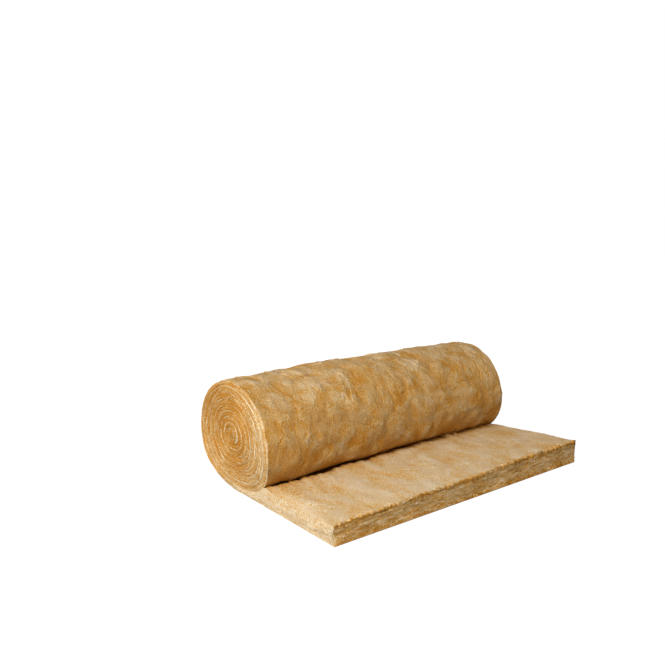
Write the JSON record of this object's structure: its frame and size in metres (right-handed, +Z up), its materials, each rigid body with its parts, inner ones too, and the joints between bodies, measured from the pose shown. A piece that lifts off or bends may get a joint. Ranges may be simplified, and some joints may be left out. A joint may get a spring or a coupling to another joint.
{
  "type": "insulation roll",
  "caption": "Glass-wool insulation blanket wound into a sagging roll, with its free end unrolled in front as a flat tail; laid between joists or rafters to keep heat in.",
  "frame": {"origin": "on the floor, at the middle of the footprint of the roll and its tail", "axes": "+X along the roll's axis and across the blanket's width, -Y towards the tail's cut end, +Z up"},
  "size_m": [1.2, 0.8224, 0.405],
  "materials": {
    "glass_wool": "matt golden-brown glass fibre, pale where it is fluffed up and orange-brown where it is pressed"
  },
  "bodies": {
    "root": {"glass_wool_blanket": "glass_wool"}
  },
  "joints": []
}
